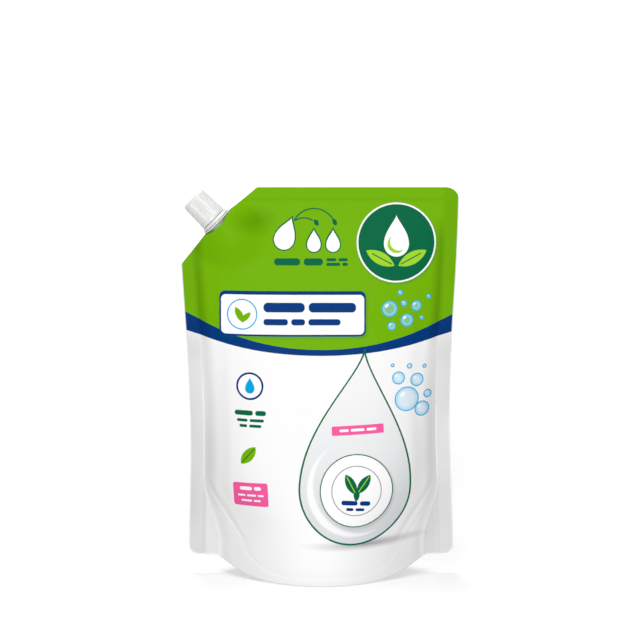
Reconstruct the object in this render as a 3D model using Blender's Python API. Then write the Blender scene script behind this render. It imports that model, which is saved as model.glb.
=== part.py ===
"""A one-litre stand-up refill pouch for washing-up liquid, with a corner spout and a screw cap.

The pouch stands on its gusset, front panel towards -Y, spout at the upper left.
Sizes are in millimetres, and the meshes are written in metres.
"""

import math

import bmesh
import bpy
from mathutils import Vector

MM = 0.001

# Film outline, seen from the front
POUCH_HEIGHT = 260.0
TOP_WIDTH = 184.0
WAIST_WIDTH = 173.0
WAIST_HEIGHT = 103.0
FOOT_WIDTH = 178.2
TOP_CORNER_RADIUS = 9.0
SWAY = 0.8
FILM = 0.35

# Heat-sealed margins
SIDE_SEAL = 10.0
TOP_SEAL = 8.0
LEAST_TOP_SEAL = 3.0
SPOUT_SEAL = 13.0

# Cut corner that takes the spout
CUT_WIDTH = 50.9
CUT_HEIGHT = 51.1
CUT_CROWN = 2.3
SPOUT_SHARE = 0.486
NOTCH_DEPTH = 2.0

# Fullness of the filled pouch
BELLY_HALF_DEPTH = 40.5
BELLY_FALL = 1.4
BELLY_TAPER = 1.4
FOOT_TUCK = 5.0
FOOT_TUCK_REACH = 12.0
FOOT_ROUNDNESS = 0.62
TOP_ROUNDNESS = 0.92

# Foot: sealed skirt, lifted ears and folded gusset
RIM_HALF_WIDTH = 61.5
RIM_CURVE = 5.0
EAR_LIFT = 12.6
EAR_REACH = 72.0
EAR_EASE = 1.6
EAR_RADIUS = 7.0
EAR_FOLD_START = 22.0
EAR_FOLD_END = 66.0
SKIRT_HEIGHT = 6.0
SKIRT_WALL = 0.8
GUSSET_SIDE_HEIGHT = 58.0
GUSSET_CURVE = 4.5
GUSSET_FLAT_HALF = 38.0
GUSSET_FLAT_SHARE = 0.64
GUSSET_BOW = 1.7

# Spout: weld base, flange and neck, along the spout's axis from the cut edge
SPOUT_TILT = math.radians(-45.0)
BASE_HALF_LENGTH = 17.0
BASE_HALF_THICKNESS = 6.5
BASE_HEIGHT = 11.6
BASE_TOP = -2.8
BASE_RIBS = 4
BASE_RIB_DEPTH = 0.6
WELD_GAP = 0.3
WELD_COVER = 1.1
WELD_END_COVER = 3.2
FLANGE_RADIUS = 10.8
FLANGE_RIM = 0.7
FLANGE_CONE = 2.0
FLANGE_GAP = 0.35
BORE_RADIUS = 4.5
NECK_RADIUS = 6.4
BEAD_RADIUS = 7.5
BEAD_WIDTH = 0.9
LEAD_IN = 0.5

# Screw thread
PITCH = 3.0
THREAD_TURNS = 1.5
THREAD_HEIGHT = 1.0
THREAD_ROOT = 1.3
THREAD_CREST = 0.6
THREAD_START = 9.0
THREAD_SINK = 0.35
THREAD_RUNOUT_STEPS = 4
THREAD_STEPS_PER_TURN = 36

# Tamper band, left on the neck when the cap is first turned
BAND_HEIGHT = 2.1
BAND_FOOT_RADIUS = 10.45
BAND_TOP_RADIUS = 9.5
BAND_GAP = 0.3
BAND_LIP_RADIUS = 7.05
BAND_LIP_HEIGHT = 0.8

# Screw cap
CAP_GAP = 0.4
CAP_HEIGHT = 18.7
CAP_FOOT_RADIUS = 9.35
CAP_TOP_RADIUS = 8.6
CAP_COLLAR_HEIGHT = 2.3
CAP_CHAMFER = 0.9
CAP_BORE_RADIUS = 7.75
CAP_ROOF = 1.6
RIB_COUNT = 36
RIB_DEPTH = 0.28
PLUG_LENGTH = 3.6
PLUG_CLEARANCE = 0.3
PLUG_WALL = 0.9
MOUTH_GAP = 0.4

# Mesh fineness
RING_POINTS = 48
CAP_RING_POINTS = 2 * RIB_COUNT
NOTCH_STEPS = 8
INNER_COLUMNS = 26
MARGIN_COLUMNS = 6
LEAST_COLUMN_ROOM = 0.018
SKIRT_ROWS = 4
PANEL_ROWS = 22
PANEL_ROW_EASE = 1.3
SEAL_ROWS = 6
GUSSET_POINTS = 12


def smoothstep(t):
    t = min(max(t, 0.0), 1.0)
    return t * t * (3.0 - 2.0 * t)


def rounded_max(a, b):
    """The larger of two depths, eased where they are alike."""
    return (a**4 + b**4) ** 0.25


# The film's flat outline


def half_width(z):
    """Half the film's width at height z: widest at the flat top, narrowest where it is fullest."""
    if z < WAIST_HEIGHT:
        ease = smoothstep(1.0 - z / WAIST_HEIGHT)
        return (WAIST_WIDTH + (FOOT_WIDTH - WAIST_WIDTH) * ease) / 2.0
    ease = smoothstep((z - WAIST_HEIGHT) / (POUCH_HEIGHT - WAIST_HEIGHT))
    return (WAIST_WIDTH + (TOP_WIDTH - WAIST_WIDTH) * ease) / 2.0


def bulge_half_width(z):
    """Half the width that bulges at height z. It narrows towards the foot, where the ears lie flat."""
    sealed = half_width(z) - SIDE_SEAL
    opened = smoothstep((z - EAR_FOLD_START) / (EAR_FOLD_END - EAR_FOLD_START))
    return RIM_HALF_WIDTH + (sealed - RIM_HALF_WIDTH) * opened


CUT_FOOT_HEIGHT = POUCH_HEIGHT - CUT_HEIGHT


def sway(z):
    """The film leans this far towards its cut corner at height z, and away from it at the foot."""
    return SWAY * (2.0 * smoothstep(z / CUT_FOOT_HEIGHT) - 1.0)


SEAL_ACROSS = 1.0 - 2.0 * SIDE_SEAL / TOP_WIDTH


def x_at(across, z):
    """Sideways place of a cross coordinate, which is 1 at the film's edge and keeps to the fold of its side seal."""
    fold, edge = bulge_half_width(z), half_width(z)
    if abs(across) <= SEAL_ACROSS:
        return across / SEAL_ACROSS * fold - sway(z)
    share = (abs(across) - SEAL_ACROSS) / (1.0 - SEAL_ACROSS)
    return math.copysign(fold + share * (edge - fold), across) - sway(z)


def across_at(x, z):
    """The cross coordinate of a point of the film."""
    fold, edge = bulge_half_width(z), half_width(z)
    x += sway(z)
    if abs(x) <= fold:
        return SEAL_ACROSS * x / fold
    share = (abs(x) - fold) / (edge - fold)
    return math.copysign(SEAL_ACROSS + share * (1.0 - SEAL_ACROSS), x)


CUT_TOP = Vector((CUT_WIDTH - TOP_WIDTH / 2.0, 0.0, POUCH_HEIGHT))
CUT_FOOT = Vector((x_at(-1.0, CUT_FOOT_HEIGHT), 0.0, CUT_FOOT_HEIGHT))
SPOUT_OUT = Vector((math.sin(SPOUT_TILT), 0.0, math.cos(SPOUT_TILT)))
SPOUT_ALONG = Vector((math.cos(SPOUT_TILT), 0.0, -math.sin(SPOUT_TILT)))
SPOUT_POINT = CUT_TOP.lerp(CUT_FOOT, SPOUT_SHARE) + SPOUT_OUT * CUT_CROWN


def at_spout(out, along):
    return SPOUT_POINT + SPOUT_OUT * out + SPOUT_ALONG * along


def spout_coordinates(x, z):
    """How far a point of the film lies out along the spout's axis, and along the cut edge."""
    offset = Vector((x, 0.0, z)) - SPOUT_POINT
    return offset.dot(SPOUT_OUT), offset.dot(SPOUT_ALONG)


def notch_points():
    """The film's edge dips in an arc below the flange."""
    points = []
    for k in range(NOTCH_STEPS + 1):
        share = 2.0 * k / NOTCH_STEPS - 1.0
        points.append(at_spout(-NOTCH_DEPTH * (1.0 - share**2), share * FLANGE_RADIUS))
    return points


CUT_EDGE = (CUT_FOOT, *notch_points(), CUT_TOP)
CUT_EDGE_ACROSS = tuple(across_at(p.x, p.z) for p in CUT_EDGE)


def top_edge(across):
    """Height of the film's top edge, up the cut corner and round the far corner."""
    for k in range(len(CUT_EDGE) - 1):
        if across <= CUT_EDGE_ACROSS[k + 1]:
            start, end = CUT_EDGE_ACROSS[k], CUT_EDGE_ACROSS[k + 1]
            share = (across - start) / (end - start)
            return CUT_EDGE[k].z + share * (CUT_EDGE[k + 1].z - CUT_EDGE[k].z)
    past = (across - 1.0) * TOP_WIDTH / 2.0 + TOP_CORNER_RADIUS
    if past <= 0.0:
        return POUCH_HEIGHT
    rise = math.sqrt(max(TOP_CORNER_RADIUS**2 - past**2, 0.0))
    return POUCH_HEIGHT - TOP_CORNER_RADIUS + rise


def bottom_edge(across):
    """Height of the film's lower edge: on the table in the middle, lifted at the two ears."""
    x = abs(x_at(across, 0.0) + sway(0.0))
    share = min(x / EAR_REACH, 1.0)
    height = EAR_LIFT * (1.0 - (1.0 - share**RIM_CURVE) ** EAR_EASE)
    past = x - (FOOT_WIDTH / 2.0 - EAR_RADIUS)
    if past > 0.0:
        height += EAR_RADIUS - math.sqrt(max(EAR_RADIUS**2 - past**2, 0.0))
    return height


def gusset_edge(across):
    """Height of the curved seal where the gusset leaves the panel."""
    share = min(abs(across) / SEAL_ACROSS, 1.0)
    return SKIRT_HEIGHT + (GUSSET_SIDE_HEIGHT - SKIRT_HEIGHT) * share**GUSSET_CURVE


CUT_SEAL_OUT = (CUT_TOP.dot(SPOUT_OUT) + CUT_FOOT.dot(SPOUT_OUT)) / 2.0 + CUT_CROWN - SPOUT_SEAL


def cut_seal_edge(x):
    """Height of the inner edge of the seal along the cut corner, above x."""
    return (CUT_SEAL_OUT - x * SPOUT_OUT.x) / SPOUT_OUT.z


def top_seal_edge(across):
    """Height where the panel starts to bulge, below the top seal and the cut corner's seal."""
    top = top_edge(across)
    x = x_at(across, top)
    return min(POUCH_HEIGHT - TOP_SEAL, cut_seal_edge(x), top - LEAST_TOP_SEAL)


# How far the film stands out from the middle plane


def belly(z):
    """Half the pouch's depth on its centre line."""
    share = min(max(z, 0.0) / (POUCH_HEIGHT - TOP_SEAL), 1.0)
    full = BELLY_HALF_DEPTH * (1.0 - share**BELLY_FALL) ** BELLY_TAPER
    return full - FOOT_TUCK * math.exp(-max(z, 0.0) / FOOT_TUCK_REACH)


def tent(x, z):
    """Half depth of the film where the spout's base holds the two panels apart."""
    out, along = spout_coordinates(x, z)
    share = along / (BASE_HALF_LENGTH + WELD_GAP + WELD_END_COVER)
    if abs(share) >= 1.0:
        return 0.0
    inner_end = BASE_TOP - BASE_HEIGHT
    fade = smoothstep((out - inner_end) / BASE_HEIGHT / 2.0 + 1.0)
    return (BASE_HALF_THICKNESS + WELD_GAP + WELD_COVER) * (1.0 - share**2) * fade


def half_depth(x, z):
    """Distance of the outer skin from the middle plane."""
    left, right = x_at(-SEAL_ACROSS, z), x_at(SEAL_ACROSS, z)
    left = max(left, (CUT_SEAL_OUT - z * SPOUT_OUT.z) / SPOUT_OUT.x)
    share = (2.0 * x - left - right) / (right - left)
    bulge = 0.0
    if abs(share) < 1.0:
        height_share = z / POUCH_HEIGHT
        roundness = FOOT_ROUNDNESS + (TOP_ROUNDNESS - FOOT_ROUNDNESS) * height_share
        bulge = belly(z) * (1.0 - share**2) ** roundness
    return FILM + rounded_max(max(bulge, 0.0), tent(x, z))


# Mesh helpers


def new_object(name, mesh, material, parent=None):
    mesh.materials.append(material)
    mesh.shade_smooth()
    mesh.set_sharp_from_angle(angle=math.radians(35.0))
    thing = bpy.data.objects.new(name, mesh)
    bpy.context.scene.collection.objects.link(thing)
    thing.parent = parent
    return thing


def finished_mesh(name, bm):
    bmesh.ops.recalc_face_normals(bm, faces=bm.faces)
    bmesh.ops.scale(bm, vec=(MM, MM, MM), verts=bm.verts)
    mesh = bpy.data.meshes.new(name)
    bm.to_mesh(mesh)
    bm.free()
    return mesh


def plastic(name, colour, roughness, transmission=0.0):
    material = bpy.data.materials.new(name)
    material.use_nodes = True
    shader = material.node_tree.nodes["Principled BSDF"]
    shader.inputs["Base Color"].default_value = (*colour, 1.0)
    shader.inputs["Roughness"].default_value = roughness
    shader.inputs["Metallic"].default_value = 0.0
    shader.inputs["Transmission Weight"].default_value = transmission
    return material


def boolean(thing, other, operation):
    """Cuts or joins another closed shape, which stays in the file as a hidden guide."""
    other.hide_render = True
    other.display_type = "WIRE"
    modifier = thing.modifiers.new(other.name, "BOOLEAN")
    modifier.operation = operation
    modifier.solver = "EXACT"
    modifier.object = other


def ring(radius, height, count, rib_depth=0.0):
    """A circle of points. A rib depth draws every second point inwards."""
    points = []
    for k in range(count):
        angle = math.tau * k / count
        r = radius - rib_depth * (k % 2)
        points.append(Vector((r * math.cos(angle), r * math.sin(angle), height)))
    return points


def lens(half_length, half_thickness, height, count):
    """A pointed boat outline, as the weld base of a pouch spout has."""
    points = []
    for k in range(count):
        angle = math.tau * k / count
        y = half_thickness * math.sin(angle) * abs(math.sin(angle))
        points.append(Vector((half_length * math.cos(angle), y, height)))
    return points


def loft(name, rings, closed_tube):
    """Skins a row of rings. A closed tube joins the last ring to the first, and otherwise both ends are capped."""
    bm = bmesh.new()
    rows = [[bm.verts.new(p) for p in points] for points in rings]
    count = len(rings[0])
    pairs = list(zip(rows, rows[1:]))
    if closed_tube:
        pairs.append((rows[-1], rows[0]))
    for lower, upper in pairs:
        for k in range(count):
            n = (k + 1) % count
            bm.faces.new((lower[k], lower[n], upper[n], upper[k]))
    if not closed_tube:
        bm.faces.new(rows[0][::-1])
        bm.faces.new(rows[-1])
    return finished_mesh(name, bm)


# The pouch


def column_places():
    """Cross coordinates of the mesh's columns, close together at the margins and the spout."""
    seal, steps = SEAL_ACROSS, MARGIN_COLUMNS
    margin = [seal + (1.0 - seal) * math.sin(math.pi / 2.0 * k / steps) for k in range(steps + 1)]
    fixed = sorted([-m for m in margin] + margin + list(CUT_EDGE_ACROSS[1:]))
    places = list(fixed)
    for k in range(1, INNER_COLUMNS):
        place = seal * math.cos(math.pi * k / INNER_COLUMNS)
        if all(abs(place - other) > LEAST_COLUMN_ROOM for other in fixed):
            places.append(place)
    return sorted(places)


def column_heights(across):
    """Heights of one column's points: up the skirt, up the panel and across the top seal."""
    bottom, gusset = bottom_edge(across), gusset_edge(across)
    seal, top = top_seal_edge(across), top_edge(across)
    heights = [bottom + (gusset - bottom) * k / SKIRT_ROWS for k in range(SKIRT_ROWS)]
    for k in range(PANEL_ROWS):
        share = 1.0 - (1.0 - k / PANEL_ROWS) ** PANEL_ROW_EASE
        heights.append(gusset + (seal - gusset) * share)
    heights += [seal + (top - seal) * k / SEAL_ROWS for k in range(SEAL_ROWS + 1)]
    return heights


def gusset_height(across, share):
    """Height of the gusset film, where share is 0 in the middle and 1 at a panel."""
    edge = gusset_edge(across)
    x = abs(x_at(across, 0.0) + sway(0.0))
    rise = max(x - GUSSET_FLAT_HALF, 0.0) / (RIM_HALF_WIDTH - GUSSET_FLAT_HALF)
    middle = min(GUSSET_SIDE_HEIGHT * rise**GUSSET_BOW, edge)
    outer = smoothstep((abs(share) - GUSSET_FLAT_SHARE) / (1.0 - GUSSET_FLAT_SHARE))
    return middle + (edge - middle) * outer


def strip(bm, first, second):
    """Faces between two rows of points that run side by side. Shared points make triangles."""
    for k in range(len(first) - 1):
        corners = [first[k], first[k + 1], second[k + 1], second[k]]
        distinct = list(dict.fromkeys(corners))
        if len(distinct) > 2:
            bm.faces.new(distinct)


def panel(bm, columns, side):
    """Points of one outer skin, column by column. The front is side -1 and the back is side 1."""
    skin = []
    for c in columns:
        spots = [(x_at(c, z), z) for z in column_heights(c)]
        skin.append([bm.verts.new((x, side * half_depth(x, z), z)) for x, z in spots])
    return skin


def flap(bm, across, side):
    """Points of the skirt's inner face in one column, up to the seal where the gusset leaves it."""
    points = []
    for z in column_heights(across)[: SKIRT_ROWS + 1]:
        x = x_at(across, z)
        depth = half_depth(x, z) - SKIRT_WALL if side else 0.0
        points.append(bm.verts.new((x, side * depth, z)))
    return points


def gusset_row(bm, across, front_flap, back_flap):
    """Points of the gusset from the front panel to the back one, in one column."""
    front, back = front_flap[-1], back_flap[-1]
    points = [front]
    for k in range(1, GUSSET_POINTS):
        share = 2.0 * k / GUSSET_POINTS - 1.0
        z = gusset_height(across, share)
        points.append(bm.verts.new((x_at(across, z), share * back.co.y, z)))
    return points + [back]


def underside(bm, columns, front, back):
    """The skirt's inner faces, the gusset between them, and the lower edges of both panels."""
    inside = [i for i, c in enumerate(columns) if abs(c) <= SEAL_ACROSS + 1e-6]
    first, final = inside[0], inside[-1]
    flaps, gusset = {}, {}
    for i in inside:
        if i in (first, final):
            spine = flap(bm, columns[i], 0)
            flaps[i] = (spine, spine)
            gusset[i] = [spine[-1]] * (GUSSET_POINTS + 1)
        else:
            flaps[i] = (flap(bm, columns[i], -1), flap(bm, columns[i], 1))
            gusset[i] = gusset_row(bm, columns[i], *flaps[i])
    for i, n in zip(inside, inside[1:]):
        strip(bm, gusset[i], gusset[n])
        for skin, f in ((front, 0), (back, 1)):
            strip(bm, flaps[i][f], flaps[n][f])
            strip(bm, [skin[i][0], skin[n][0]], [flaps[i][f][0], flaps[n][f][0]])
    for end, step in ((first, -1), (final, 1)):
        spine_foot = flaps[end][0][0]
        n = end + step
        bm.faces.new((front[n][0], front[end][0], spine_foot, back[end][0], back[n][0]))
        while 0 <= n + step < len(columns):
            strip(bm, [front[n][0], front[n + step][0]], [back[n][0], back[n + step][0]])
            n += step


def pouch_mesh():
    """Front and back panels, the sealed margins, the skirt and the gusset as one closed skin."""
    bm = bmesh.new()
    columns = column_places()
    front, back = panel(bm, columns, -1), panel(bm, columns, 1)
    for skin in (front, back):
        for first, second in zip(skin, skin[1:]):
            strip(bm, first, second)
    for k in (0, -1):
        strip(bm, front[k], back[k])
    strip(bm, [column[-1] for column in front], [column[-1] for column in back])
    underside(bm, columns, front, back)
    return finished_mesh("pouch", bm)


def make_pouch(spout_frame):
    film = plastic("printed_film", (0.55, 0.72, 0.30), 0.35)
    pouch = new_object("pouch", pouch_mesh(), film)
    count = RING_POINTS
    half_length = BASE_HALF_LENGTH + WELD_GAP
    half_thickness = BASE_HALF_THICKNESS + WELD_GAP
    inner_end = BASE_TOP - BASE_HEIGHT - WELD_GAP
    ends = (inner_end, NOTCH_DEPTH + CUT_CROWN)
    rings = [lens(half_length, half_thickness, z, count) for z in ends]
    pocket = new_object("spout_pocket", loft("spout_pocket", rings, False), film, spout_frame)
    boolean(pouch, pocket, "DIFFERENCE")
    return pouch


# The spout


def thread(name, material, parent, wall_radius, inward, start):
    """A trapezoid ridge wound on a helix, fading out at both ends, for a Boolean to join to its wall."""
    bm = bmesh.new()
    steps = round(THREAD_TURNS * THREAD_STEPS_PER_TURN)
    sense = -1.0 if inward else 1.0
    rows = []
    for k in range(steps + 1):
        angle = math.tau * k / THREAD_STEPS_PER_TURN
        middle = start + PITCH * k / THREAD_STEPS_PER_TURN
        fade = min(k, steps - k, THREAD_RUNOUT_STEPS) / THREAD_RUNOUT_STEPS
        root = wall_radius - sense * THREAD_SINK
        crest = wall_radius + sense * THREAD_HEIGHT * max(fade, 0.1)
        profile = (
            (root, -THREAD_ROOT / 2.0),
            (crest, -THREAD_CREST / 2.0),
            (crest, THREAD_CREST / 2.0),
            (root, THREAD_ROOT / 2.0),
        )
        rows.append(
            [
                bm.verts.new((r * math.cos(angle), r * math.sin(angle), middle + dz))
                for r, dz in profile
            ]
        )
    for lower, upper in zip(rows, rows[1:]):
        for k in range(4):
            n = (k + 1) % 4
            bm.faces.new((lower[k], lower[n], upper[n], upper[k]))
    bm.faces.new(rows[0])
    bm.faces.new(rows[-1][::-1])
    return new_object(name, finished_mesh(name, bm), material, parent)


FLANGE_TOP = FLANGE_GAP + FLANGE_RIM
BAND_FOOT = FLANGE_TOP + BAND_GAP
BAND_TOP = BAND_FOOT + BAND_HEIGHT
CAP_FOOT = BAND_TOP + CAP_GAP
CAP_TOP = CAP_FOOT + CAP_HEIGHT
NECK_TOP = CAP_TOP - CAP_ROOF - MOUTH_GAP
BEAD_FOOT = BAND_FOOT + 2.0 * BAND_LIP_HEIGHT


def make_spout(spout_frame, material):
    """Ribbed weld base, round flange, beaded neck and the bore through them all."""
    count = RING_POINTS
    rings = []
    base_foot = BASE_TOP - BASE_HEIGHT
    steps = 2 * BASE_RIBS + 1
    for k in range(steps):
        inset = BASE_RIB_DEPTH * (k % 2)
        for edge in (0.0, 1.0):
            z = base_foot + BASE_HEIGHT * (k + edge) / steps
            half_length = BASE_HALF_LENGTH - inset
            rings.append(lens(half_length, BASE_HALF_THICKNESS - inset, z, count))
    round_foot = min(NECK_RADIUS, BASE_HALF_THICKNESS - 0.2)
    cone_foot = FLANGE_GAP - FLANGE_CONE
    rings.append(ring(round_foot, (BASE_TOP + cone_foot) / 2.0, count))
    rings.append(ring(round_foot, cone_foot, count))
    rings.append(ring(FLANGE_RADIUS, FLANGE_GAP, count))
    rings.append(ring(FLANGE_RADIUS, FLANGE_TOP, count))
    rings.append(ring(NECK_RADIUS, FLANGE_TOP, count))
    rings.append(ring(NECK_RADIUS, BEAD_FOOT, count))
    rings.append(ring(BEAD_RADIUS, BEAD_FOOT, count))
    rings.append(ring(NECK_RADIUS, BEAD_FOOT + BEAD_WIDTH, count))
    rings.append(ring(NECK_RADIUS, NECK_TOP - LEAD_IN, count))
    rings.append(ring(NECK_RADIUS - LEAD_IN, NECK_TOP, count))
    rings.append(ring(BORE_RADIUS, NECK_TOP, count))
    rings.append(ring(BORE_RADIUS, base_foot, count))
    spout = new_object("spout", loft("spout", rings, True), material, spout_frame)
    ridge = thread("neck_thread", material, spout_frame, NECK_RADIUS, False, THREAD_START)
    boolean(spout, ridge, "UNION")
    return spout


def make_tamper_band(spout_frame, material):
    """The ring under the cap, with a lip that the neck's bead holds down."""
    count = RING_POINTS
    wall = CAP_BORE_RADIUS
    lip_top = BAND_FOOT + BAND_LIP_HEIGHT
    rings = [
        ring(BAND_LIP_RADIUS, BAND_FOOT, count),
        ring(BAND_FOOT_RADIUS, BAND_FOOT, count),
        ring(BAND_TOP_RADIUS, BAND_TOP, count),
        ring(wall, BAND_TOP, count),
        ring(wall, lip_top + BAND_LIP_HEIGHT / 2.0, count),
        ring(BAND_LIP_RADIUS, lip_top, count),
    ]
    return new_object("tamper_band", loft("tamper_band", rings, True), material, spout_frame)


def make_cap(spout_frame, material):
    """Ribbed skirt over a smooth collar, with a thread inside and a plug that closes the bore."""
    count = CAP_RING_POINTS
    collar_top = CAP_FOOT + CAP_COLLAR_HEIGHT
    roof = CAP_TOP - CAP_ROOF
    rib_top = CAP_TOP - CAP_CHAMFER
    collar_radius = CAP_FOOT_RADIUS - RIB_DEPTH / 2.0
    plug_radius = BORE_RADIUS - PLUG_CLEARANCE
    plug_foot = roof - PLUG_LENGTH
    rings = [
        ring(CAP_TOP_RADIUS - CAP_CHAMFER, CAP_TOP, count),
        ring(CAP_TOP_RADIUS, rib_top, count, RIB_DEPTH),
        ring(collar_radius, collar_top, count, RIB_DEPTH),
        ring(CAP_FOOT_RADIUS, collar_top, count),
        ring(CAP_FOOT_RADIUS, CAP_FOOT, count),
        ring(CAP_BORE_RADIUS, CAP_FOOT, count),
        ring(CAP_BORE_RADIUS, roof, count),
        ring(plug_radius, roof, count),
        ring(plug_radius - LEAD_IN / 2.0, plug_foot, count),
        ring(plug_radius - PLUG_WALL, plug_foot, count),
        ring(plug_radius - PLUG_WALL, roof, count),
    ]
    cap = new_object("cap", loft("cap", rings, False), material, spout_frame)
    start = THREAD_START + PITCH / 2.0
    ridge = thread("cap_thread", material, spout_frame, CAP_BORE_RADIUS, True, start)
    boolean(cap, ridge, "UNION")
    return cap


def main():
    for thing in list(bpy.data.objects):
        bpy.data.objects.remove(thing)
    spout_frame = bpy.data.objects.new("spout_frame", None)
    bpy.context.scene.collection.objects.link(spout_frame)
    spout_frame.location = SPOUT_POINT * MM
    spout_frame.rotation_euler = (0.0, SPOUT_TILT, 0.0)
    make_pouch(spout_frame)
    moulding = plastic("natural_plastic", (0.86, 0.87, 0.86), 0.3, 0.3)
    make_spout(spout_frame, moulding)
    make_tamper_band(spout_frame, moulding)
    make_cap(spout_frame, moulding)


main()
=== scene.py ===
"""Looks of the refill pouch: printed laminate film with soft folds, and natural plastic mouldings."""

import math

import bmesh
import bpy
from mathutils import Matrix, Vector, noise


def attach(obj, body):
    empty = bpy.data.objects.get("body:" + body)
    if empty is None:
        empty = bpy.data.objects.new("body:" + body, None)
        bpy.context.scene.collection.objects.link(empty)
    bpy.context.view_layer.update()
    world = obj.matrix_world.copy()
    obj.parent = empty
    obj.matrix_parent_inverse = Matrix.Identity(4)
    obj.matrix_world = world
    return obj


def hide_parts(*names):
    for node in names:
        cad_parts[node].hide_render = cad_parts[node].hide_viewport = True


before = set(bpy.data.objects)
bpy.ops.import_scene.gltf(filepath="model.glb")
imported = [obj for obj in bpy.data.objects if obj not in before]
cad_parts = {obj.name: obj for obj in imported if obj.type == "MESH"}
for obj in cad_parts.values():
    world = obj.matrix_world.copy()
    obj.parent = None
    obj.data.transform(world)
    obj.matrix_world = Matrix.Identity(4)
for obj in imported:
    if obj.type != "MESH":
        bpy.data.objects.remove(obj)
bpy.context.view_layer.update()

MM = 0.001

# The film's outline and fullness, in millimetres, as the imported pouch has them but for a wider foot
POUCH_HEIGHT = 260.0
TOP_WIDTH = 184.0
WAIST_WIDTH = 173.0
WAIST_HEIGHT = 103.0
FOOT_WIDTH = 178.2
TOP_CORNER_RADIUS = 9.0
SWAY = 0.8
FILM = 0.35
SIDE_SEAL = 10.0
TOP_SEAL = 8.0
LEAST_TOP_SEAL = 3.0
SPOUT_SEAL = 13.0
CUT_WIDTH = 50.9
CUT_HEIGHT = 51.1
CUT_CROWN = 2.3
SPOUT_SHARE = 0.486
NOTCH_DEPTH = 2.0
BELLY_HALF_DEPTH = 40.5
BELLY_FALL = 1.4
BELLY_TAPER = 1.4
FOOT_TUCK = 5.0
FOOT_TUCK_REACH = 12.0
FOOT_ROUNDNESS = 1.15
FLANK_ROUNDNESS = 0.95
FOOT_FLATNESS = 2.0
FLANK_FLATNESS = 3.5
FLANK_START = 30.0
ROUNDNESS_BLEND = 50.0
FLATNESS_BLEND = 60.0
RIM_HALF_WIDTH = 68.0
RIM_CURVE = 5.0
EAR_LIFT = 12.6
EAR_REACH = 72.0
EAR_EASE = 1.6
EAR_RADIUS = 7.0
EAR_FOLD_START = 22.0
EAR_FOLD_END = 66.0
SKIRT_HEIGHT = 6.0
SKIRT_WALL = 0.8
GUSSET_SIDE_HEIGHT = 58.0
GUSSET_CURVE = 4.5
GUSSET_FLAT_HALF = 38.0
GUSSET_FLAT_SHARE = 0.64
GUSSET_BOW = 1.7

# The spout's weld base and flange
SPOUT_TILT = math.radians(-45.0)
BASE_HALF_LENGTH = 17.0
BASE_HALF_THICKNESS = 6.5
BASE_HEIGHT = 11.6
BASE_TOP = -2.8
WELD_GAP = 0.3
WELD_COVER = 1.1
WELD_END_COVER = 6.5
TENT_ROUNDNESS = 1.3
TENT_FADE = 2.8
FLANGE_RADIUS = 10.8

# Fineness of the film's mesh
NOTCH_STEPS = 24
INNER_COLUMNS = 130
MARGIN_COLUMNS = 10
LEAST_COLUMN_ROOM = 0.004
SKIRT_ROWS = 14
PANEL_ROWS = 120
PANEL_ROW_EASE = 1.15
SEAL_ROWS = 12
GUSSET_POINTS = 36
POCKET_POINTS = 96
ROUNDING = 1e-6
SHARP_ANGLE = math.radians(50.0)

# Folds and creases of the film, with its noise given as a wave's width and height and a seed
FOLD_HEIGHT = 0.2
FOLD_SPACING = 15.0
FOLD_REACH = 26.0
FOLD_WANDER = (60.0, 55.0, 3.0)
FOLD_WANDER_SHARE = 0.5
FOLDS_START, FOLDS_START_BLEND = 30.0, 40.0
FOLDS_END, FOLDS_END_BLEND = 235.0, 60.0
FOLDS_FULL_BULGE = 5.0
CRUMPLE = 0.35
COARSE_CRUMPLE = (34.0, 46.0, 7.0)
FINE_CRUMPLE = (13.0, 19.0, 5.0)
FINE_CRUMPLE_SHARE = 0.4
CREASE_DEPTH = 0.22
CREASE_WIDTH = 1.1
CORNER_CREASE = 0.5
CORNER_CREASE_WIDTH = 1.5
CORNER_CREASE_START = (51.0, 27.0)
CORNER_CREASE_SLOPE = 1.5
CORNER_CREASE_LEAD, CORNER_CREASE_LEAD_BLEND = 8.0, 12.0
CORNER_CREASE_END, CORNER_CREASE_END_BLEND = 25.0, 6.0
CORNER_RIDGE_SHARE = 0.6
CORNER_RIDGE_OFFSET = 2.5
CORNER_RIDGE_SPREAD = 1.6
RIPPLE = 1.3
RIPPLE_GROWTH = 1.5
RIPPLE_FADE = 40.0
LONG_RIPPLE = 21.0
SHORT_RIPPLE = 9.5
SHORT_RIPPLE_SHARE = 0.6

# The view, with its distance and aim in metres and its lens in millimetres
CAMERA_DISTANCE = 1.5
CAMERA_ELEVATION = math.radians(10.0)
CAMERA_LENS = 128.0
AIM_HEIGHT = 0.172


def smoothstep(t):
    t = min(max(t, 0.0), 1.0)
    return t * t * (3.0 - 2.0 * t)


def rounded_max(a, b):
    """The larger of two depths, eased where they are alike."""
    return math.hypot(a, b)


# The film's flat outline


def half_width(z):
    """Half the film's width at height z."""
    if z < WAIST_HEIGHT:
        ease = smoothstep(1.0 - z / WAIST_HEIGHT)
        return (WAIST_WIDTH + (FOOT_WIDTH - WAIST_WIDTH) * ease) / 2.0
    ease = smoothstep((z - WAIST_HEIGHT) / (POUCH_HEIGHT - WAIST_HEIGHT))
    return (WAIST_WIDTH + (TOP_WIDTH - WAIST_WIDTH) * ease) / 2.0


def bulge_half_width(z):
    """Half the width that bulges at height z. It narrows towards the foot, where the ears lie flat."""
    sealed = half_width(z) - SIDE_SEAL
    opened = smoothstep((z - EAR_FOLD_START) / (EAR_FOLD_END - EAR_FOLD_START))
    return RIM_HALF_WIDTH + (sealed - RIM_HALF_WIDTH) * opened


CUT_FOOT_HEIGHT = POUCH_HEIGHT - CUT_HEIGHT


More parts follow.
